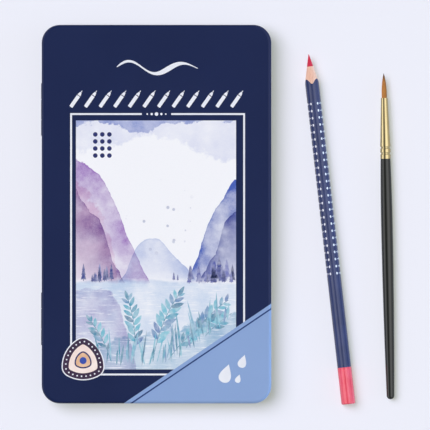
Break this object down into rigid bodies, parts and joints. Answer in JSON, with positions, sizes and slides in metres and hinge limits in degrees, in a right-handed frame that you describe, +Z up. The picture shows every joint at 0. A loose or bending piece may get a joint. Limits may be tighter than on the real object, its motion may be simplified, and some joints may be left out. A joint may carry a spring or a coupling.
{
  "type": "watercolor pencil set",
  "caption": "Flat hinged tin of three-sided watercolour pencils in a grooved tray, with one pencil and a round artist's brush lying beside it.",
  "frame": {"origin": "centre of the tin's underside, on the table", "axes": "+X from the hinge side to the front of the tin, +Y along the tin towards the pencils' points, +Z up"},
  "size_m": [0.1755, 0.1888, 0.011],
  "materials": {
    "navy_tinplate": "printed tinplate, satin varnish",
    "hinge_wire": "drawn steel wire",
    "tray_plastic": "moulded white plastic",
    "cedar": "planed bare wood",
    "navy_lacquer": "gloss lacquer",
    "ferrule_gold": "polished gilt metal",
    "handle_lacquer": "lacquered wood, gloss",
    "brush_hair": "sable hair",
    "lead_white": "waxy coloured core",
    "dip_white": "gloss lacquer dip",
    "lead_yellow": "waxy coloured core",
    "dip_yellow": "gloss lacquer dip",
    "lead_orange": "waxy coloured core",
    "dip_orange": "gloss lacquer dip",
    "lead_crimson": "waxy coloured core",
    "dip_crimson": "gloss lacquer dip",
    "lead_violet": "waxy coloured core",
    "dip_violet": "gloss lacquer dip",
    "lead_sky_blue": "waxy coloured core",
    "dip_sky_blue": "gloss lacquer dip",
    "lead_ultramarine": "waxy coloured core",
    "dip_ultramarine": "gloss lacquer dip",
    "lead_light_green": "waxy coloured core",
    "dip_light_green": "gloss lacquer dip",
    "lead_dark_green": "waxy coloured core",
    "dip_dark_green": "gloss lacquer dip",
    "lead_ochre": "waxy coloured core",
    "dip_ochre": "gloss lacquer dip",
    "lead_brown": "waxy coloured core",
    "dip_brown": "gloss lacquer dip",
    "lead_black": "waxy coloured core",
    "dip_black": "gloss lacquer dip"
  },
  "bodies": {
    "base": {"tin_base": "navy_tinplate", "hinge_pin_upper": "hinge_wire", "hinge_pin_lower": "hinge_wire", "pencil_tray": "tray_plastic", "white_pencil_casing": "cedar", "white_pencil_lacquer": "navy_lacquer", "white_pencil_lead": "lead_white", "white_pencil_end_dip": "dip_white", "yellow_pencil_casing": "cedar", "yellow_pencil_lacquer": "navy_lacquer", "yellow_pencil_lead": "lead_yellow", "yellow_pencil_end_dip": "dip_yellow", "orange_pencil_casing": "cedar", "orange_pencil_lacquer": "navy_lacquer", "orange_pencil_lead": "lead_orange", "orange_pencil_end_dip": "dip_orange", "violet_pencil_casing": "cedar", "violet_pencil_lacquer": "navy_lacquer", "violet_pencil_lead": "lead_violet", "violet_pencil_end_dip": "dip_violet", "sky_blue_pencil_casing": "cedar", "sky_blue_pencil_lacquer": "navy_lacquer", "sky_blue_pencil_lead": "lead_sky_blue", "sky_blue_pencil_end_dip": "dip_sky_blue", "ultramarine_pencil_casing": "cedar", "ultramarine_pencil_lacquer": "navy_lacquer", "ultramarine_pencil_lead": "lead_ultramarine", "ultramarine_pencil_end_dip": "dip_ultramarine", "light_green_pencil_casing": "cedar", "light_green_pencil_lacquer": "navy_lacquer", "light_green_pencil_lead": "lead_light_green", "light_green_pencil_end_dip": "dip_light_green", "dark_green_pencil_casing": "cedar", "dark_green_pencil_lacquer": "navy_lacquer", "dark_green_pencil_lead": "lead_dark_green", "dark_green_pencil_end_dip": "dip_dark_green", "ochre_pencil_casing": "cedar", "ochre_pencil_lacquer": "navy_lacquer", "ochre_pencil_lead": "lead_ochre", "ochre_pencil_end_dip": "dip_ochre", "brown_pencil_casing": "cedar", "brown_pencil_lacquer": "navy_lacquer", "brown_pencil_lead": "lead_brown", "brown_pencil_end_dip": "dip_brown", "black_pencil_casing": "cedar", "black_pencil_lacquer": "navy_lacquer", "black_pencil_lead": "lead_black", "black_pencil_end_dip": "dip_black"},
    "lid": {"tin_lid": "navy_tinplate"},
    "pencil": {"crimson_pencil_casing": "cedar", "crimson_pencil_lacquer": "navy_lacquer", "crimson_pencil_lead": "lead_crimson", "crimson_pencil_end_dip": "dip_crimson"},
    "brush": {"brush_tuft": "brush_hair", "brush_ferrule": "ferrule_gold", "brush_handle": "handle_lacquer"}
  },
  "joints": [
    {"name": "lid_hinge", "type": "hinge", "parent": "base", "child": "lid", "pos_m": [-0.0565, 0, 0.0057], "axis": [0, -1, 0], "range_deg": [0, 180]},
    {"name": "pencil_lift", "type": "slide", "parent": "base", "child": "pencil", "axis": [0, 0, 1], "range_m": [0, 0.03]},
    {"name": "brush_lift", "type": "slide", "parent": "base", "child": "brush", "axis": [0, 0, 1], "range_m": [0, 0.03]}
  ]
}
